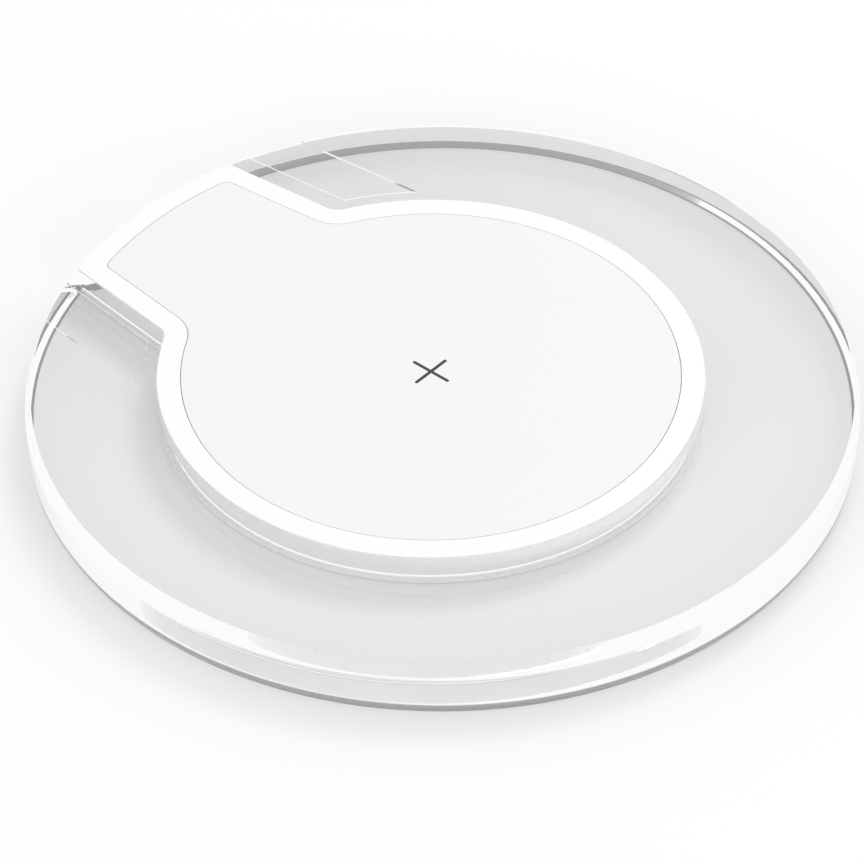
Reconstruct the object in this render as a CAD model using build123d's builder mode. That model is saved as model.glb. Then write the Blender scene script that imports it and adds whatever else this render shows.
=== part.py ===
from build123d import *
import math
import os

# Round wireless charging pad: a white keyhole-shaped case held in a clear acrylic ring.
# Millimetres, +Z up. The rubber feet stand on Z = 0, the ring turns about the Z axis
# and the cable socket faces +Y.

# ---------------------------------------------------------------- overall sizes
ring_diameter = 100.0  # across the arris below the bevelled top edge, before it is broken
ring_thickness = 7.45  # clear body, flat top to flat bottom
case_diameter = 65.6  # round part of the white case
case_centre_y = 1.85  # the round part sits this far towards the socket
case_rise = 0.15  # the case stands this far above the clear top
foot_stand = 0.25  # the feet hold the body this far off the table

# ---------------------------------------------------------------- clear ring profile
bevel_width = 0.8
bevel_height = 2.2
arris_flat = 0.15  # narrow flat that breaks the arris
wall_draft = 0.2  # the side wall draws in by this much towards the bottom
bottom_bevel_width = 0.45
bottom_bevel_height = 0.95
window_near = 2.6  # shallow light windows beside the tab: near and far sides, from the tab's side
window_far = 9.1
window_gap = 1.8  # from the case wall to the inner end of a window
window_depth = 0.3

# ---------------------------------------------------------------- keyhole case
tab_half_neck = 15.3  # half width of the tab where it meets the round part
tab_half_rim = 13.4  # half width of the tab at the ring's top edge
neck_fillet = 2.2
panel_corner_fillet = 1.2
border_width = 2.8  # white border round the face panel
panel_thickness = 0.5
roof_thickness = 0.9  # cover under the face panel
wall_thickness = 1.2
flange_width = 0.35  # both halves of the case overlap the ring's inner ledge by this much
flange_depth = 3.0  # the cover's flange reaches this far below the clear top
floor_thickness = 1.0
lip_height = 0.8
lip_thickness = 0.8
cover_edge_fillet = 0.1

# ---------------------------------------------------------------- fits
case_fit = 0.1  # between the case and the ring, all round
ledge_fit = 0.2  # above and below the ring's ledge
panel_fit = 0.1
lip_fit = 0.1
lead_fit = 0.05  # between a lead and the winding it passes under
board_fit = 0.4
post_fit = 0.1
socket_fit = 0.2
foot_fit = 0.1
screw_hole_fit = 0.15
lamp_window_fit = 0.2
cut_margin = 1.0  # cuts start and end this far outside what they cut
step_height = 0.001  # keeps the outside's inner step real where it is level with the clear top

# ---------------------------------------------------------------- charging coil
wire_diameter = 1.2
coil_pitch = 1.25
coil_inner_radius = 10.4
coil_half_turns = 18
coil_exit_angle = 45.0
film_thickness = 0.1
ferrite_radius = 23.5
ferrite_thickness = 0.8
lead_slot_width = 1.8
inner_lead_run = 25.5
outer_lead_run = 15.0
lead_bend_radius = 1.8
lead_dive_start = 0.6
lead_dive_end = 3.4
outer_lead_step = 11.3
lead_step_length = 2.4

# ---------------------------------------------------------------- circuit board
board_thickness = 1.0
board_top = 3.7
board_start_y = 19.4
board_post_x = 9.4
board_post_y = 42.0
board_post_radius = 0.8
post_rise = 1.6  # posts stand this far above the board
board_pad_radius = 1.8
rest_pad_x = 15.0
rest_pad_y = 21.2
solder_pad = 2.2
controller_size = (5.0, 5.0, 0.9)
controller_y = 35.6
mosfet_size = (3.3, 3.3, 0.9)
mosfet_x = 6.8
resonant_size = (3.2, 2.5, 1.9)
resonant_pitch = 4.0
resonant_count = 4
resonant_y = 30.6
ceramic_size = (0.8, 1.6, 0.8)
ceramic_pitch = 1.9
ceramic_count = 6
ceramic_y = 39.9
input_capacitor_x = 5.6
resistor_size = (0.5, 1.0, 0.35)
resistor_pitch = 1.2
resistor_count = 7
sense_count = 4
resistor_y = 42.3
sense_y = 26.8

# ---------------------------------------------------------------- cable socket (micro-B)
socket_width = 7.4
socket_height = 2.4
socket_length = 5.0
socket_wall = 0.25
socket_corner = 0.4
socket_setback = 0.5  # mouth behind the arris at the tab's end
socket_slant = 0.7
socket_block_length = 1.3
tongue_width = 3.7
tongue_thickness = 0.6
tongue_length = 3.2
contact_count = 5
contact_pitch = 0.65
contact_width = 0.35
contact_thickness = 0.12
contact_tail = 0.9
contact_setback = 0.3  # from the tongue's tip
contact_side = -1  # contacts lie on the tongue's under side

# ---------------------------------------------------------------- feet, screws, label, lamps
fixing_radius = 26.5  # feet and screws lie on this circle about the case's centre
fixing_angles = (35.0, 145.0, 225.0, 315.0)
foot_diameter = 8.0
foot_recess = 0.4
foot_rounding = 0.2
boss_radius = 2.0
screw_radius = 0.75
screw_length = 3.2
screw_head_radius = 1.5
screw_head_height = 0.6
cross_length = 1.8
cross_width = 0.35
cross_depth = 0.3
seat_rise = 0.6  # the screw seats stand above the case floor by a screw head's height and this
pilot_spare = 0.2  # pilot hole past the screw's tip
label_diameter = 38.0
label_thickness = 0.1
lamp_angle = 38.0  # lamps shine out at this angle from the tab's axis
lamp_width = 3.0
lamp_depth = 1.1
lamp_height = 1.0
lamp_setback = 1.3  # from the inside of the case wall
lens_width = 2.2
lens_height = 0.7
lens_depth = 0.275

# ---------------------------------------------------------------- worked-out levels
ring_radius = ring_diameter / 2
ring_bottom = foot_stand
ring_top = ring_bottom + ring_thickness
top_edge_radius = ring_radius - bevel_width
arris_z = ring_top - bevel_height
case_radius = case_diameter / 2
neck_y = case_centre_y + math.sqrt(case_radius**2 - tab_half_neck**2)
case_top = ring_top + case_rise
panel_floor = case_top - panel_thickness
roof_under = panel_floor - roof_thickness
ledge_top = ring_top - flange_depth
floor_top = ring_bottom + floor_thickness
board_under = board_top - board_thickness
coil_z = roof_under - film_thickness - wire_diameter / 2
ferrite_top = coil_z - wire_diameter / 2 - film_thickness
lead_z = coil_z - wire_diameter - lead_fit
socket_z = board_top + socket_height / 2
socket_mouth_y = ring_radius - socket_setback
fixings = [
    (
        fixing_radius * math.cos(math.radians(angle)),
        case_centre_y + fixing_radius * math.sin(math.radians(angle)),
    )
    for angle in fixing_angles
]
inner_wall_inset = flange_width + wall_thickness
end_wall_radius = ring_radius - wall_draft + flange_width
seat_top = floor_top + screw_head_height + seat_rise
pilot_depth = ring_bottom + foot_recess + screw_head_height + screw_length + pilot_spare - seat_top
board_posts = [(-board_post_x, board_post_y), (board_post_x, board_post_y)]
board_rests = [(-rest_pad_x, rest_pad_y), (rest_pad_x, rest_pad_y)]


def tab_half_width(y):
    """Half width of the tapering tab at height y of the plan."""
    taper = (tab_half_neck - tab_half_rim) / (top_edge_radius - neck_y)
    return tab_half_neck + taper * (neck_y - y)


def keyhole(inset, end_radius=ring_diameter, corner=0.0):
    """Case outline drawn in by inset: a circle, a tapering tab and filleted necks.

    The tab runs out to end_radius about the ring's axis before it is drawn in,
    which by default is well past the rim.
    """
    half_near = tab_half_width(case_centre_y)
    half_far = tab_half_width(end_radius)
    with BuildSketch() as outline:
        with BuildLine():
            Polyline(
                (-half_near, case_centre_y),
                (half_near, case_centre_y),
                (half_far, end_radius),
                (-half_far, end_radius),
                close=True,
            )
        make_face()
        Circle(end_radius, mode=Mode.INTERSECT)
        with Locations((0, case_centre_y)):
            Circle(case_radius)
        necks = [outline.vertices().sort_by_distance((side * tab_half_neck, neck_y))[0] for side in (-1, 1)]
        fillet(necks, neck_fillet)
        if inset:
            offset(amount=-inset, kind=Kind.INTERSECTION)
        if corner:
            fillet(outline.vertices().sort_by(Axis.Y)[-2:], corner)
    return outline.sketch


def coil_disc():
    """Round sheet under the winding, slotted for the wire's inner end."""
    with BuildSketch() as sheet:
        with Locations((0, case_centre_y)):
            Circle(ferrite_radius)
        with Locations((-coil_inner_radius, case_centre_y + ferrite_radius / 2)):
            Rectangle(lead_slot_width, ferrite_radius + lead_slot_width, mode=Mode.SUBTRACT)
    return sheet.sketch


def lamp_plane(side):
    """Plane at the case's centre, facing out through one lamp's window."""
    angle = math.radians(lamp_angle)
    return Plane(
        origin=(0, case_centre_y, board_top + lamp_height / 2),
        x_dir=(0, 0, 1),
        z_dir=(side * math.sin(angle), math.cos(angle), 0),
    )


def outer_profile(top_z):
    """Half section of the whole pad's outside, with its inner part raised to top_z."""
    with BuildSketch(Plane.XZ) as section:
        with BuildLine():
            Polyline(
                (0, ring_bottom),
                (ring_radius - wall_draft - bottom_bevel_width, ring_bottom),
                (ring_radius - wall_draft, ring_bottom + bottom_bevel_height),
                (ring_radius, arris_z),
                (top_edge_radius, ring_top),
                (top_edge_radius, top_z + step_height),
                (0, top_z + step_height),
                close=True,
            )
        make_face()
        chamfer(section.vertices().sort_by(Axis.X)[-1], arris_flat)
    return section.sketch


# ================================================================ clear ring
with BuildPart() as clear_ring:
    with BuildSketch(Plane.XZ) as ring_profile:
        add(outer_profile(ring_top))
        with Locations((ring_radius / 2, ring_top + cut_margin)):
            Rectangle(ring_diameter, 2 * cut_margin, mode=Mode.SUBTRACT)
    revolve(axis=Axis.Z)
    # the case drops into three bores: over, through and under the inner ledge
    with BuildSketch(Plane.XY.offset(ledge_top - ledge_fit)):
        add(keyhole(-case_fit))
    extrude(amount=ring_thickness, mode=Mode.SUBTRACT)
    with BuildSketch(Plane.XY.offset(ring_bottom - cut_margin)):
        add(keyhole(flange_width - case_fit))
    extrude(amount=ring_thickness + 2 * cut_margin, mode=Mode.SUBTRACT)
    with BuildSketch(Plane.XY.offset(ring_bottom - cut_margin)):
        add(keyhole(-case_fit))
    extrude(amount=cut_margin + floor_thickness + ledge_fit, mode=Mode.SUBTRACT)
    # shallow light windows in the top face, one each side of the tab
    with BuildSketch(Plane.XY.offset(ring_top - window_depth)):
        for side in (-1, 1):
            with BuildLine():
                Polyline(
                    (side * (tab_half_width(case_centre_y) + window_near), case_centre_y),
                    (side * (tab_half_width(case_centre_y) + window_far), case_centre_y),
                    (side * (tab_half_width(ring_diameter) + window_far), ring_diameter),
                    (side * (tab_half_width(ring_diameter) + window_near), ring_diameter),
                    close=True,
                )
            make_face()
        with Locations((0, case_centre_y)):
            Circle(case_radius + window_gap, mode=Mode.SUBTRACT)
    extrude(amount=window_depth + cut_margin, mode=Mode.SUBTRACT)
clear_ring.part.label = "clear_ring"

# ================================================================ white case
# the case's outside follows the ring's own profile where the tab meets the rim
with BuildPart() as case_envelope:
    with BuildSketch(Plane.XZ):
        add(outer_profile(case_top))
    revolve(axis=Axis.Z)

with BuildPart() as top_cover:
    with BuildSketch(Plane.XY.offset(ledge_top)):
        add(keyhole(0))
    extrude(amount=case_top - ledge_top)
    with BuildSketch(Plane.XY.offset(floor_top)):
        add(keyhole(flange_width))
    extrude(amount=ledge_top - floor_top)
    add(case_envelope.part, mode=Mode.INTERSECT)
    fillet(top_cover.faces().sort_by(Axis.Z)[-1].outer_wire().edges(), cover_edge_fillet)
    with BuildSketch(Plane.XY.offset(floor_top)):
        add(keyhole(inner_wall_inset, end_wall_radius))
    extrude(amount=roof_under - floor_top, mode=Mode.SUBTRACT)
    with BuildSketch(Plane.XY.offset(panel_floor)):
        add(keyhole(border_width, top_edge_radius, panel_corner_fillet))
    extrude(amount=panel_thickness, mode=Mode.SUBTRACT)
    # screw bosses
    with BuildSketch(Plane.XY.offset(seat_top)):
        with Locations(*fixings):
            Circle(boss_radius)
    extrude(amount=roof_under - seat_top)
    with BuildSketch(Plane.XY.offset(seat_top)):
        with Locations(*fixings):
            Circle(screw_radius)
    extrude(amount=pilot_depth, mode=Mode.SUBTRACT)
    # bosses that hold the board down on its posts
    with BuildSketch(Plane.XY.offset(board_top)):
        with Locations(*board_posts):
            Circle(board_pad_radius)
    extrude(amount=roof_under - board_top)
    with BuildSketch(Plane.XY.offset(board_top)):
        with Locations(*board_posts):
            Circle(board_post_radius + post_fit)
    extrude(amount=post_rise + post_fit, mode=Mode.SUBTRACT)
    # socket mouth through the tab's end
    with BuildSketch(Plane.XZ.offset(-(ring_radius + cut_margin))):
        with Locations((0, socket_z)):
            RectangleRounded(socket_width + 2 * socket_fit, socket_height + 2 * socket_fit, socket_corner)
    extrude(amount=ring_radius - end_wall_radius + inner_wall_inset + 2 * cut_margin, mode=Mode.SUBTRACT)
    # lamp windows through the wall
    for side in (-1, 1):
        with BuildSketch(lamp_plane(side).offset(case_radius - inner_wall_inset - cut_margin)):
            Rectangle(lamp_height + 2 * lamp_window_fit, lamp_width + 2 * lamp_window_fit)
        extrude(amount=inner_wall_inset + 2 * cut_margin, mode=Mode.SUBTRACT)
top_cover.part.label = "top_cover"

with BuildPart() as face_panel:
    with BuildSketch(Plane.XY.offset(panel_floor)):
        add(keyhole(border_width + panel_fit, top_edge_radius, panel_corner_fillet - panel_fit))
    extrude(amount=panel_thickness)
face_panel.part.label = "face_panel"

with BuildPart() as bottom_case:
    with BuildSketch(Plane.XY.offset(ring_bottom)):
        add(keyhole(0))
    extrude(amount=floor_thickness)
    add(case_envelope.part, mode=Mode.INTERSECT)
    # lip that locates inside the cover's wall
    with BuildSketch(Plane.XY.offset(floor_top)):
        add(keyhole(inner_wall_inset + lip_fit, end_wall_radius))
        add(keyhole(inner_wall_inset + lip_fit + lip_thickness, end_wall_radius), mode=Mode.SUBTRACT)
    extrude(amount=lip_height)
    # board rests and locating posts
    with BuildSketch(Plane.XY.offset(floor_top)):
        with Locations(*board_posts, *board_rests):
            Circle(board_pad_radius)
    extrude(amount=board_under - floor_top)
    with BuildSketch(Plane.XY.offset(board_under)):
        with Locations(*board_posts):
            Circle(board_post_radius)
    extrude(amount=board_thickness + post_rise)
    # raised seats for the screw heads, each with its foot recess beneath
    with BuildSketch(Plane.XY.offset(floor_top)):
        with Locations(*fixings):
            Circle(boss_radius)
    extrude(amount=seat_top - floor_top)
    with BuildSketch(Plane.XY.offset(ring_bottom)):
        with Locations(*fixings):
            Circle(foot_diameter / 2)
    extrude(amount=foot_recess, mode=Mode.SUBTRACT)
    with BuildSketch(Plane.XY.offset(ring_bottom)):
        with Locations(*fixings):
            Circle(screw_head_radius + screw_hole_fit)
    extrude(amount=foot_recess + screw_head_height, mode=Mode.SUBTRACT)
    with BuildSketch(Plane.XY.offset(ring_bottom)):
        with Locations(*fixings):
            Circle(screw_radius + screw_hole_fit)
    extrude(amount=ring_thickness, mode=Mode.SUBTRACT)
bottom_case.part.label = "bottom_case"

# ================================================================ feet, screws, label
with BuildPart() as rubber_feet:
    with BuildSketch(Plane.XY):
        with Locations(*fixings):
            Circle(foot_diameter / 2 - foot_fit)
    extrude(amount=foot_stand + foot_recess)
    fillet(rubber_feet.edges().group_by(Axis.Z)[0], foot_rounding)
rubber_feet.part.label = "rubber_feet"

with BuildPart() as case_screws:
    with BuildSketch(Plane.XY.offset(ring_bottom + foot_recess)):
        with Locations(*fixings):
            Circle(screw_head_radius)
    extrude(amount=screw_head_height)
    with BuildSketch(Plane.XY.offset(ring_bottom + foot_recess + screw_head_height)):
        with Locations(*fixings):
            Circle(screw_radius)
    extrude(amount=screw_length)
    with BuildSketch(Plane.XY.offset(ring_bottom + foot_recess)):
        with Locations(*fixings):
            Rectangle(cross_length, cross_width)
            Rectangle(cross_width, cross_length)
    extrude(amount=cross_depth, mode=Mode.SUBTRACT)
case_screws.part.label = "case_screws"

with BuildPart() as bottom_label:
    with BuildSketch(Plane.XY.offset(ring_bottom - label_thickness)):
        with Locations((0, case_centre_y)):
            Circle(label_diameter / 2)
    extrude(amount=label_thickness)
bottom_label.part.label = "bottom_label"

# ================================================================ charging coil and its shield
with BuildPart() as ferrite_shield:
    with BuildSketch(Plane.XY.offset(ferrite_top - ferrite_thickness)):
        add(coil_disc())
    extrude(amount=ferrite_thickness)
ferrite_shield.part.label = "ferrite_shield"

with BuildPart() as coil_bond_film:
    with BuildSketch(Plane.XY.offset(ferrite_top)):
        add(coil_disc())
    extrude(amount=film_thickness)
coil_bond_film.part.label = "coil_bond_film"

with BuildPart() as roof_bond_film:
    with BuildSketch(Plane.XY.offset(roof_under - film_thickness)):
        with Locations((0, case_centre_y)):
            Circle(ferrite_radius)
            Circle(coil_inner_radius - wire_diameter, mode=Mode.SUBTRACT)
    extrude(amount=film_thickness)
roof_bond_film.part.label = "roof_bond_film"

# The winding is half circles about two centres half a pitch apart, so each runs
# smoothly into the next. It starts on the left heading away from the socket.
with BuildPart() as transmitter_coil:
    with BuildLine() as winding:
        for half_turn in range(coil_half_turns):
            radius = coil_inner_radius + half_turn * coil_pitch / 2
            centre_x = (half_turn % 2) * -coil_pitch / 2
            CenterArc((centre_x, case_centre_y, coil_z), radius, 180 + 180 * half_turn, 180)
        last_radius = coil_inner_radius + coil_half_turns * coil_pitch / 2
        CenterArc((0, case_centre_y, coil_z), last_radius, 180, 180 + coil_exit_angle)
    with BuildSketch(Plane(origin=winding.line @ 0, z_dir=winding.line % 0)):
        Circle(wire_diameter / 2)
    sweep(path=winding.line)
transmitter_coil.part.label = "transmitter_coil"


def lead(path):
    """A straight-and-arc length of the coil's wire."""
    with BuildPart() as wire:
        with BuildSketch(Plane(origin=path @ 0, z_dir=path % 0)):
            Circle(wire_diameter / 2)
        sweep(path=path)
    return wire.part


# the inner end dives under the winding and runs in the shield's slot to the board
with BuildLine() as inner_route:
    FilletPolyline(
        (-coil_inner_radius, case_centre_y, coil_z),
        (-coil_inner_radius, case_centre_y + lead_dive_start, coil_z),
        (-coil_inner_radius, case_centre_y + lead_dive_end, lead_z),
        (-coil_inner_radius, case_centre_y + inner_lead_run, lead_z),
        radius=lead_bend_radius,
    )
coil_lead_inner = lead(inner_route.line)
coil_lead_inner.label = "coil_lead_inner"

# the outer end leaves the winding straight and steps down to the board past the shield
exit_direction = Vector(0, 1, 0).rotate(Axis.Z, coil_exit_angle)
exit_point = winding.line @ 1
pad_lift = Vector(0, 0, lead_z - coil_z)
with BuildLine() as outer_route:
    FilletPolyline(
        exit_point,
        exit_point + exit_direction * outer_lead_step,
        exit_point + exit_direction * (outer_lead_step + lead_step_length) + pad_lift,
        exit_point + exit_direction * outer_lead_run + pad_lift,
        radius=lead_bend_radius,
    )
coil_lead_outer = lead(outer_route.line)
coil_lead_outer.label = "coil_lead_outer"
pad_places = [inner_route.line @ 1, outer_route.line @ 1]

with BuildPart() as solder_pads:
    with BuildSketch(Plane.XY.offset(board_top)):
        with Locations(*[(place.X, place.Y) for place in pad_places]):
            Rectangle(solder_pad, solder_pad)
    extrude(amount=lead_z - wire_diameter / 2 - board_top)
solder_pads.part.label = "solder_pads"

# ================================================================ circuit board
with BuildPart() as main_pcb:
    with BuildSketch(Plane.XY.offset(board_under)):
        add(keyhole(inner_wall_inset + lip_fit + lip_thickness + board_fit, end_wall_radius))
        with Locations((0, board_start_y - ring_diameter / 2)):
            Rectangle(ring_diameter, ring_diameter, mode=Mode.SUBTRACT)
        with Locations(*board_posts):
            Circle(board_post_radius + post_fit, mode=Mode.SUBTRACT)
    extrude(amount=board_thickness)
main_pcb.part.label = "main_pcb"


def chips(label, size, places):
    """Blocks of one size standing on the board, each its own solid."""
    with BuildPart() as group:
        with Locations(*[(x, y, board_top) for x, y in places]):
            Box(*size, align=(Align.CENTER, Align.CENTER, Align.MIN))
    group.part.label = label
    return group.part


def rows(spacing, count, y):
    """Places in a line across, centred on the tab's axis."""
    return [((index - (count - 1) / 2) * spacing, y) for index in range(count)]


controller_ic = chips("controller_ic", controller_size, [(0, controller_y)])
driver_mosfets = chips("driver_mosfets", mosfet_size, [(side * mosfet_x, controller_y) for side in (-1, 1)])
resonant_places = rows(resonant_pitch, resonant_count, resonant_y)
resonant_capacitors = chips("resonant_capacitors", resonant_size, resonant_places)
input_capacitor_place = (-input_capacitor_x, socket_mouth_y - socket_length)
ceramic_places = rows(ceramic_pitch, ceramic_count, ceramic_y) + [input_capacitor_place]
ceramic_capacitors = chips("ceramic_capacitors", ceramic_size, ceramic_places)
resistor_places = rows(resistor_pitch, resistor_count, resistor_y)
sense_places = rows(resistor_pitch, sense_count, sense_y)
chip_resistors = chips("chip_resistors", resistor_size, resistor_places + sense_places)

# ================================================================ side lamps
def lamp(label, side):
    """A small side-firing lamp on the board, behind its window in the case wall."""
    plane = lamp_plane(side).offset(case_radius - inner_wall_inset - lamp_setback - lamp_depth)
    with BuildPart() as body:
        with BuildSketch(plane):
            Rectangle(lamp_height, lamp_width)
        extrude(amount=lamp_depth)
        with BuildSketch(plane.offset(lamp_depth)):
            Rectangle(lens_height, lens_width)
        extrude(amount=-lens_depth, mode=Mode.SUBTRACT)
    body.part.label = label
    return body.part


led_left = lamp("led_left", -1)
led_right = lamp("led_right", 1)

# ================================================================ cable socket
socket_plane = Plane(origin=(0, socket_mouth_y - socket_length, socket_z), x_dir=(1, 0, 0), z_dir=(0, 1, 0))


def socket_outline(inset):
    """Flattened D of the socket, narrower towards the board."""
    half_width = socket_width / 2 - inset
    half_height = socket_height / 2 - inset
    with BuildSketch() as outline:
        with BuildLine():
            Polyline(
                (-half_width, -half_height),
                (-half_width, half_height - socket_slant),
                (-half_width + socket_slant, half_height),
                (half_width - socket_slant, half_height),
                (half_width, half_height - socket_slant),
                (half_width, -half_height),
                close=True,
            )
        make_face()
    return outline.sketch


with BuildPart() as usb_socket_shell:
    with BuildSketch(socket_plane):
        add(socket_outline(0))
        add(socket_outline(socket_wall), mode=Mode.SUBTRACT)
    extrude(amount=socket_length)
usb_socket_shell.part.label = "usb_socket_shell"

with BuildPart() as usb_socket_tongue:
    with BuildSketch(socket_plane):
        add(socket_outline(socket_wall))
    extrude(amount=socket_block_length)
    with BuildSketch(socket_plane.offset(socket_block_length)):
        Rectangle(tongue_width, tongue_thickness)
    extrude(amount=tongue_length)
usb_socket_tongue.part.label = "usb_socket_tongue"

with BuildPart() as usb_contacts:
    with BuildSketch(socket_plane.offset(socket_block_length)):
        contact_rise = contact_side * (tongue_thickness + contact_thickness) / 2
        with Locations(*rows(contact_pitch, contact_count, contact_rise)):
            Rectangle(contact_width, contact_thickness)
    extrude(amount=tongue_length - contact_setback)
    with BuildSketch(Plane.XY.offset(board_top)):
        with Locations(*rows(contact_pitch, contact_count, socket_plane.origin.Y - contact_tail / 2)):
            Rectangle(contact_width, contact_tail)
    extrude(amount=contact_thickness)
usb_contacts.part.label = "usb_contacts"

# ================================================================ export
pieces = [
    clear_ring.part,
    top_cover.part,
    face_panel.part,
    bottom_case.part,
    rubber_feet.part,
    case_screws.part,
    bottom_label.part,
    ferrite_shield.part,
    coil_bond_film.part,
    roof_bond_film.part,
    transmitter_coil.part,
    coil_lead_inner,
    coil_lead_outer,
    solder_pads.part,
    main_pcb.part,
    controller_ic,
    driver_mosfets,
    resonant_capacitors,
    ceramic_capacitors,
    chip_resistors,
    led_left,
    led_right,
    usb_socket_shell.part,
    usb_socket_tongue.part,
    usb_contacts.part,
]
os.makedirs("parts", exist_ok=True)
for piece in pieces:
    export_step(piece, f"parts/{piece.label}.step")
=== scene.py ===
import math

import bmesh
import bpy
from mathutils import Matrix, Vector


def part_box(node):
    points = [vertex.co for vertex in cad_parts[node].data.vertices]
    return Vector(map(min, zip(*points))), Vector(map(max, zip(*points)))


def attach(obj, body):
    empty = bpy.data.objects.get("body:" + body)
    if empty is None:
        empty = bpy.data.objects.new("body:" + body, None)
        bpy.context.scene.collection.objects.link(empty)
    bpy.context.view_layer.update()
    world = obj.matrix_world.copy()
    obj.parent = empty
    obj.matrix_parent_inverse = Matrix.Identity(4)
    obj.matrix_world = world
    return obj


# A round wireless charging pad: a white keyhole-shaped case held in a clear acrylic ring.
# Metres, +Z up, and the cable socket faces +Y.

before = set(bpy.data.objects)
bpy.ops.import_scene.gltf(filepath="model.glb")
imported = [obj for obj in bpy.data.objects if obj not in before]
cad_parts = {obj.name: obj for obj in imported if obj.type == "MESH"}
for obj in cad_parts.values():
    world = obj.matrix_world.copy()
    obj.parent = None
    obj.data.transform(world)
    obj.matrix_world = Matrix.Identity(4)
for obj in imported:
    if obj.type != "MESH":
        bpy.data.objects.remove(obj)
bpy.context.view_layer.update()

MM = 0.001
CASE_LOW, CASE_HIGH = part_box("top_cover")
CASE_CENTRE_Y = CASE_LOW.y + (CASE_HIGH.x - CASE_LOW.x) / 2
PANEL_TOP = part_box("face_panel")[1].z
RING_LOW, RING_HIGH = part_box("clear_ring")


# ---------------------------------------------------------------- materials
NOISE_DETAIL = 3.0
MOTTLE_DETAIL = 4.0
MOTTLE_EDGES = (0.35, 0.65)  # noise levels where the mottle is all dark and all light


def grey(level):
    """A neutral colour."""
    return (level, level, level, 1.0)


def core(material):
    """The material's Principled shader."""
    return material.node_tree.nodes["Principled BSDF"]


def shader(name, **settings):
    """A new material with one Principled shader; settings go on the shader's own sockets."""
    material = bpy.data.materials.new(name)
    material.use_nodes = True
    principled = core(material)
    for socket, value in settings.items():
        principled.inputs[socket.replace("_", " ")].default_value = value
    return material


def noise(material, grain, detail=NOISE_DETAIL):
    """A noise in object space; grain is its scale per metre."""
    nodes, links = material.node_tree.nodes, material.node_tree.links
    place = nodes.new("ShaderNodeTexCoord")
    texture = nodes.new("ShaderNodeTexNoise")
    texture.inputs["Scale"].default_value = grain
    texture.inputs["Detail"].default_value = detail
    links.new(place.outputs["Object"], texture.inputs["Vector"])
    return texture


def roughen(material, grain, relief):
    """Moulded or rolled surface relief, this deep."""
    nodes, links = material.node_tree.nodes, material.node_tree.links
    texture = noise(material, grain)
    bump = nodes.new("ShaderNodeBump")
    bump.inputs["Distance"].default_value = relief
    links.new(texture.outputs["Fac"], bump.inputs["Height"])
    links.new(bump.outputs["Normal"], core(material).inputs["Normal"])


def mottle(material, grain, dark, light):
    """Colour that wanders a little between dark and light."""
    nodes, links = material.node_tree.nodes, material.node_tree.links
    texture = noise(material, grain, MOTTLE_DETAIL)
    ramp = nodes.new("ShaderNodeValToRGB")
    for stop, position, color in zip(ramp.color_ramp.elements, MOTTLE_EDGES, (dark, light)):
        stop.position = position
        stop.color = color
    links.new(texture.outputs["Fac"], ramp.inputs["Fac"])
    links.new(ramp.outputs["Color"], core(material).inputs["Base Color"])


def vary_gloss(material, grain, low, high):
    """Roughness that drifts between low and high, as handling and moulding leave it."""
    nodes, links = material.node_tree.nodes, material.node_tree.links
    texture = noise(material, grain)
    span = nodes.new("ShaderNodeMapRange")
    span.inputs["To Min"].default_value = low
    span.inputs["To Max"].default_value = high
    links.new(texture.outputs["Fac"], span.inputs["Value"])
    links.new(span.outputs["Result"], core(material).inputs["Roughness"])


def dress(node, material):
    """Give a CAD node this material in all its slots."""
    for slot in bpy.data.objects[node].material_slots:
        slot.material = material


def beyond(material, radius):
    """A mask that is 1 further than radius from the Z axis."""
    nodes, links = material.node_tree.nodes, material.node_tree.links
    place = nodes.new("ShaderNodeTexCoord")
    flat = nodes.new("ShaderNodeVectorMath")
    flat.operation = "MULTIPLY"
    flat.inputs[1].default_value = (1, 1, 0)
    reach = nodes.new("ShaderNodeVectorMath")
    reach.operation = "LENGTH"
    outer = nodes.new("ShaderNodeMath")
    outer.operation = "GREATER_THAN"
    outer.inputs[1].default_value = radius
    links.new(place.outputs["Object"], flat.inputs[0])
    links.new(flat.outputs["Vector"], reach.inputs[0])
    links.new(reach.outputs["Value"], outer.inputs[0])
    return outer.outputs["Value"]


def shade_low_edge(material, rim, low_z, high_z, edge, body):
    """Painted shade: the clear body is coloured darker below a height at its rim, standing in for the dark
    that the under bevel gathers from below it.
    """
    nodes, links = material.node_tree.nodes, material.node_tree.links
    place = nodes.new("ShaderNodeTexCoord")
    parts = nodes.new("ShaderNodeSeparateXYZ")
    level = nodes.new("ShaderNodeMapRange")
    level.inputs["From Min"].default_value = low_z
    level.inputs["From Max"].default_value = high_z
    level.inputs["To Min"].default_value = 1.0
    level.inputs["To Max"].default_value = 0.0
    mask = nodes.new("ShaderNodeMath")
    mask.operation = "MULTIPLY"
    tone = nodes.new("ShaderNodeMix")
    tone.data_type = "RGBA"
    tone.inputs["A"].default_value = body
    tone.inputs["B"].default_value = edge
    links.new(place.outputs["Object"], parts.inputs["Vector"])
    links.new(parts.outputs["Z"], level.inputs["Value"])
    links.new(level.outputs["Result"], mask.inputs[0])
    links.new(rim, mask.inputs[1])
    links.new(mask.outputs["Value"], tone.inputs["Factor"])
    links.new(tone.outputs["Result"], core(material).inputs["Base Color"])


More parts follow.
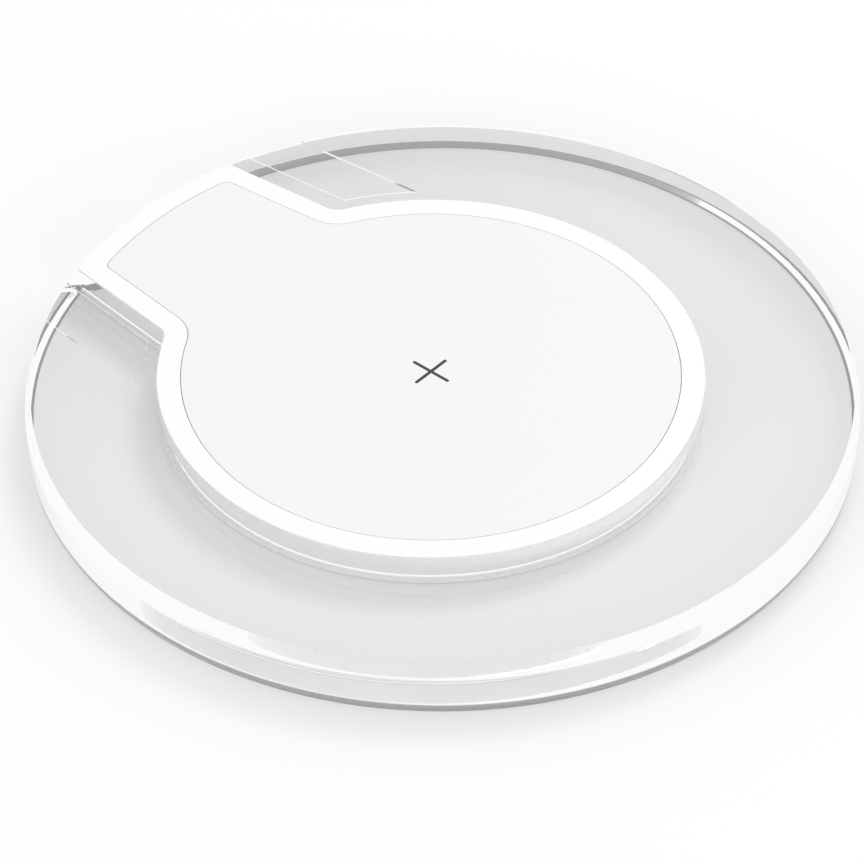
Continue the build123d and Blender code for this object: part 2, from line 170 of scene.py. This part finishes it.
def let_light_through(material, rim, passed, rim_passed, deep_rays, deep_glow):
    """Lamps and bounced light pass straight through, less of them at the rim, which turns light aside.

    Light that keeps being mirrored inside ends in a pale glow instead of black.
    """
    nodes, links = material.node_tree.nodes, material.node_tree.links
    path = nodes.new("ShaderNodeLightPath")
    either = nodes.new("ShaderNodeMath")
    either.operation = "MAXIMUM"
    tone = nodes.new("ShaderNodeMix")
    tone.data_type = "RGBA"
    tone.inputs["A"].default_value = grey(passed)
    tone.inputs["B"].default_value = grey(rim_passed)
    open_shader = nodes.new("ShaderNodeBsdfTransparent")
    deep = nodes.new("ShaderNodeMath")
    deep.operation = "GREATER_THAN"
    deep.inputs[1].default_value = deep_rays
    glow = nodes.new("ShaderNodeEmission")
    glow.inputs["Strength"].default_value = deep_glow
    body = nodes.new("ShaderNodeMixShader")
    mix = nodes.new("ShaderNodeMixShader")
    links.new(rim, tone.inputs["Factor"])
    links.new(tone.outputs["Result"], open_shader.inputs["Color"])
    links.new(path.outputs["Ray Depth"], deep.inputs[0])
    links.new(deep.outputs["Value"], body.inputs["Fac"])
    links.new(core(material).outputs["BSDF"], body.inputs[1])
    links.new(glow.outputs["Emission"], body.inputs[2])
    links.new(path.outputs["Is Shadow Ray"], either.inputs[0])
    links.new(path.outputs["Is Diffuse Ray"], either.inputs[1])
    links.new(either.outputs["Value"], mix.inputs["Fac"])
    links.new(body.outputs["Shader"], mix.inputs[1])
    links.new(open_shader.outputs["BSDF"], mix.inputs[2])
    links.new(mix.outputs["Shader"], nodes["Material Output"].inputs["Surface"])


RIM_DEPTH = 1.0 * MM  # the rim is what lies this near the ring's widest
FOOT_BAND = 1.35 * MM  # the painted dark band of shade at the rim's foot is this tall
FOOT_BAND_FADE = 0.15 * MM
CLEAR_BODY = grey(0.97)
# painted shade: the clear ring's foot at the rim is coloured this dark
CLEAR_FOOT_SHADE = grey(0.14)

clear = shader("clear_acrylic", Base_Color=CLEAR_BODY, Roughness=0.0, IOR=1.49, Transmission_Weight=1.0)
ring_rim = beyond(clear, RING_HIGH.x - RIM_DEPTH)
band_top = RING_LOW.z + FOOT_BAND
# painted shade: a dark band is coloured into the clear ring's foot at the rim
shade_low_edge(clear, ring_rim, band_top, band_top + FOOT_BAND_FADE, edge=CLEAR_FOOT_SHADE, body=CLEAR_BODY)
let_light_through(clear, ring_rim, passed=0.9, rim_passed=0.6, deep_rays=2.5, deep_glow=0.98)
dress("clear_ring", clear)

white = shader("white_gloss", Base_Color=grey(0.95))
roughen(white, grain=900, relief=0.004 * MM)
vary_gloss(white, grain=120, low=0.18, high=0.3)
dress("top_cover", white)

panel = shader("panel_white", Base_Color=grey(0.88))
roughen(panel, grain=2500, relief=0.002 * MM)
vary_gloss(panel, grain=60, low=0.26, high=0.36)
dress("face_panel", panel)

case_white = shader("case_white", Base_Color=grey(0.9), Roughness=0.5)
roughen(case_white, grain=4000, relief=0.02 * MM)
dress("bottom_case", case_white)

rubber = shader("foot_rubber", Roughness=0.8)
mottle(rubber, grain=800, dark=grey(0.46), light=grey(0.54))
roughen(rubber, grain=3000, relief=0.02 * MM)
dress("rubber_feet", rubber)

label = shader("label_film", Roughness=0.45)
mottle(label, grain=300, dark=(0.78, 0.79, 0.8, 1.0), light=(0.83, 0.84, 0.85, 1.0))
dress("bottom_label", label)

FINISH_RELIEF = 0.005 * MM


def finish(node, dark, light, roughness, grain, metallic=0.0):
    """A lightly mottled and grained material of its own for one node."""
    material = shader(node + "_finish", Roughness=roughness, Metallic=metallic)
    mottle(material, grain, dark, light)
    roughen(material, grain, FINISH_RELIEF)
    dress(node, material)


STEEL_SCREW = {"dark": grey(0.5), "light": grey(0.62), "roughness": 0.35, "metallic": 1.0, "grain": 3000}
FERRITE = {"dark": grey(0.06), "light": grey(0.1), "roughness": 0.75, "grain": 900}
BOND_FILM = {"dark": (0.75, 0.7, 0.5, 1.0), "light": (0.85, 0.8, 0.6, 1.0), "roughness": 0.5, "grain": 400}
COPPER = {
    "dark": (0.62, 0.27, 0.12, 1.0),
    "light": (0.8, 0.42, 0.2, 1.0),
    "roughness": 0.35,
    "metallic": 1.0,
    "grain": 2500,
}
SOLDER = {"dark": grey(0.62), "light": grey(0.78), "roughness": 0.3, "metallic": 1.0, "grain": 2500}
BOARD_GREEN = {
    "dark": (0.02, 0.2, 0.09, 1.0),
    "light": (0.04, 0.28, 0.13, 1.0),
    "roughness": 0.4,
    "grain": 500,
}
CHIP_BLACK = {"dark": grey(0.03), "light": grey(0.05), "roughness": 0.6, "grain": 3000}
CERAMIC_TAN = {
    "dark": (0.4, 0.28, 0.18, 1.0),
    "light": (0.5, 0.36, 0.24, 1.0),
    "roughness": 0.5,
    "grain": 2500,
}
RESISTOR_BLACK = {"dark": grey(0.03), "light": grey(0.06), "roughness": 0.4, "grain": 3000}
LAMP_WHITE = {"dark": grey(0.85), "light": grey(0.92), "roughness": 0.25, "grain": 2000}
SOCKET_STEEL = {"dark": grey(0.6), "light": grey(0.72), "roughness": 0.28, "metallic": 1.0, "grain": 1800}
TONGUE_BLACK = {"dark": grey(0.03), "light": grey(0.05), "roughness": 0.5, "grain": 2500}
GOLD = {
    "dark": (0.8, 0.58, 0.2, 1.0),
    "light": (0.9, 0.7, 0.3, 1.0),
    "roughness": 0.25,
    "metallic": 1.0,
    "grain": 2500,
}
FINISHES = {
    "case_screws": STEEL_SCREW,
    "ferrite_shield": FERRITE,
    "coil_bond_film": BOND_FILM,
    "roof_bond_film": BOND_FILM,
    "transmitter_coil": COPPER,
    "coil_lead_inner": COPPER,
    "coil_lead_outer": COPPER,
    "solder_pads": SOLDER,
    "main_pcb": BOARD_GREEN,
    "controller_ic": CHIP_BLACK,
    "driver_mosfets": CHIP_BLACK,
    "resonant_capacitors": CERAMIC_TAN,
    "ceramic_capacitors": CERAMIC_TAN,
    "chip_resistors": RESISTOR_BLACK,
    "led_left": LAMP_WHITE,
    "led_right": LAMP_WHITE,
    "usb_socket_shell": SOCKET_STEEL,
    "usb_socket_tongue": TONGUE_BLACK,
    "usb_contacts": GOLD,
}
for node, look in FINISHES.items():
    finish(node, **look)


# ---------------------------------------------------------------- printed mark
MARK_ARM = 2.6 * MM  # from the mark's centre to where an arm's round end begins
MARK_HALF_WIDTH = 0.22 * MM
END_STEPS = 6
INK_THICKNESS = 0.004 * MM

ink = shader("mark_ink", Base_Color=grey(0.02), Roughness=0.45)
roughen(ink, grain=6000, relief=0.001 * MM)


def printed(name, outline, place):
    """A thin film of ink with the given outline, lying on the face panel."""
    mesh = bmesh.new()
    corners = [mesh.verts.new((x, y, 0)) for x, y in outline]
    face = mesh.faces.new(corners)
    top = bmesh.ops.extrude_face_region(mesh, geom=[face])
    lifted = [item for item in top["geom"] if isinstance(item, bmesh.types.BMVert)]
    bmesh.ops.translate(mesh, vec=(0, 0, INK_THICKNESS), verts=lifted)
    bmesh.ops.recalc_face_normals(mesh, faces=mesh.faces)
    data = bpy.data.meshes.new(name)
    mesh.to_mesh(data)
    mesh.free()
    data.materials.append(ink)
    piece = bpy.data.objects.new(name, data)
    piece.location = (place[0], place[1], PANEL_TOP)
    bpy.context.scene.collection.objects.link(piece)
    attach(piece, "root")


def rounded_bar_cross(arm, half_width):
    """Outline of a plus sign with round ends to its four arms."""
    outline = []
    corner = half_width * math.sqrt(2)
    for quarter in range(4):
        heading = quarter * math.pi / 2
        for step in range(END_STEPS + 1):
            angle = heading - math.pi / 2 + math.pi * step / END_STEPS
            end_x = arm * math.cos(heading) + half_width * math.cos(angle)
            end_y = arm * math.sin(heading) + half_width * math.sin(angle)
            outline.append((end_x, end_y))
        inner = heading + math.pi / 4
        outline.append((corner * math.cos(inner), corner * math.sin(inner)))
    return outline


printed("centre_mark", rounded_bar_cross(MARK_ARM, MARK_HALF_WIDTH), (0, CASE_CENTRE_Y))


# ---------------------------------------------------------------- floor and light
FLOOR_SIZE = 6.0
FLOOR_LIFT = 0.17
FLOOR_DROP = 0.02 * MM  # the floor lies this far under the feet, so that the two never coincide


def plane(name, size, place):
    """A flat square, facing up."""
    half = size / 2
    corners = [(-half, -half, 0), (half, -half, 0), (half, half, 0), (-half, half, 0)]
    mesh = bpy.data.meshes.new(name)
    mesh.from_pydata(corners, [], [(0, 1, 2, 3)])
    piece = bpy.data.objects.new(name, mesh)
    piece.location = place
    bpy.context.scene.collection.objects.link(piece)
    return piece


def shown(nodes, links):
    """1 for the camera and for what mirrors or passes its view, 0 for the light that falls on things."""
    path = nodes.new("ShaderNodeLightPath")
    seen = nodes.new("ShaderNodeMath")
    seen.operation = "MAXIMUM"
    also = nodes.new("ShaderNodeMath")
    also.operation = "MAXIMUM"
    links.new(path.outputs["Is Camera Ray"], seen.inputs[0])
    links.new(path.outputs["Is Glossy Ray"], seen.inputs[1])
    links.new(seen.outputs["Value"], also.inputs[0])
    links.new(path.outputs["Is Transmission Ray"], also.inputs[1])
    return also.outputs["Value"]


def show_white(material, lift):
    """The floor is lifted to white where it is seen, with its shadow kept."""
    nodes, links = material.node_tree.nodes, material.node_tree.links
    scale = nodes.new("ShaderNodeMath")
    scale.operation = "MULTIPLY"
    scale.inputs[1].default_value = lift
    glow = nodes.new("ShaderNodeEmission")
    both = nodes.new("ShaderNodeAddShader")
    links.new(shown(nodes, links), scale.inputs[0])
    links.new(scale.outputs["Value"], glow.inputs["Strength"])
    links.new(core(material).outputs["BSDF"], both.inputs[0])
    links.new(glow.outputs["Emission"], both.inputs[1])
    links.new(both.outputs["Shader"], nodes["Material Output"].inputs["Surface"])


floor = plane("floor", FLOOR_SIZE, (0, 0, -FLOOR_DROP))
floor_material = shader("floor_white", Base_Color=grey(0.8), Roughness=1.0, Specular_IOR_Level=0.0)
show_white(floor_material, FLOOR_LIFT)
floor.data.materials.append(floor_material)

AZIMUTH = math.radians(-49.0)  # of the camera; the lamps are placed from it
LAMP_DISTANCE = 0.9
KEY_TURN = math.radians(150)
KEY_ELEVATION = math.radians(58)
KEY_SIZE = 0.3
KEY_WATTS = 2.2
FILL_TURN = math.radians(35)
FILL_ELEVATION = math.radians(15)
FILL_SIZE = 0.5
FILL_WATTS = 1.8
SKY = 0.71  # strength of the world's light on things


def toward(azimuth, elevation):
    """Unit vector out of the object's centre; azimuth 0 is the -Y side."""
    level = math.cos(elevation)
    return Vector((math.sin(azimuth) * level, -math.cos(azimuth) * level, math.sin(elevation)))


def area(name, azimuth, elevation, size, watts, mirrored=True):
    """A square lamp aimed at the object's centre, seen in glossy surfaces only if mirrored."""
    lamp = bpy.data.lights.new(name, "AREA")
    lamp.size = size
    lamp.energy = watts
    piece = bpy.data.objects.new(name, lamp)
    heading = toward(azimuth, elevation)
    piece.location = heading * LAMP_DISTANCE
    piece.rotation_euler = heading.to_track_quat("Z", "Y").to_euler()
    piece.visible_glossy = mirrored
    bpy.context.scene.collection.objects.link(piece)


area("key", AZIMUTH + KEY_TURN, KEY_ELEVATION, KEY_SIZE, KEY_WATTS)
area("fill_left", AZIMUTH - FILL_TURN, FILL_ELEVATION, FILL_SIZE, FILL_WATTS, mirrored=False)
area("fill_right", AZIMUTH + FILL_TURN, FILL_ELEVATION, FILL_SIZE, FILL_WATTS, mirrored=False)

world = bpy.data.worlds.new("studio")
bpy.context.scene.world = world
world.use_nodes = True
world_nodes, world_links = world.node_tree.nodes, world.node_tree.links
backdrop = world_nodes["Background"]
backdrop.inputs["Color"].default_value = grey(1.0)
sky_level = world_nodes.new("ShaderNodeMapRange")
sky_level.inputs["To Min"].default_value = SKY
sky_level.inputs["To Max"].default_value = 1.0
world_links.new(shown(world_nodes, world_links), sky_level.inputs["Value"])
world_links.new(sky_level.outputs["Result"], backdrop.inputs["Strength"])

# ---------------------------------------------------------------- camera
CAMERA_DISTANCE = 674 * MM
CAMERA_ELEVATION = math.radians(41.18)
SENSOR_WIDTH = 36.0
LENS = 233.3
PAN = math.radians(0.11)
TILT = math.radians(-0.046)
ROLL = math.radians(-0.149)
camera_data = bpy.data.cameras.new("camera")
camera_data.sensor_width = SENSOR_WIDTH
camera_data.lens = LENS
camera_data.clip_start = 10 * MM
camera = bpy.data.objects.new("camera", camera_data)
camera.location = toward(AZIMUTH, CAMERA_ELEVATION) * CAMERA_DISTANCE
aim = Matrix.Rotation(AZIMUTH, 4, "Z") @ Matrix.Rotation(math.pi / 2 - CAMERA_ELEVATION, 4, "X")
aim = aim @ Matrix.Rotation(PAN, 4, "Y") @ Matrix.Rotation(TILT, 4, "X") @ Matrix.Rotation(ROLL, 4, "Z")
camera.rotation_euler = aim.to_euler()
bpy.context.scene.collection.objects.link(camera)
bpy.context.scene.camera = camera

bpy.context.scene.view_settings.view_transform = "Standard"
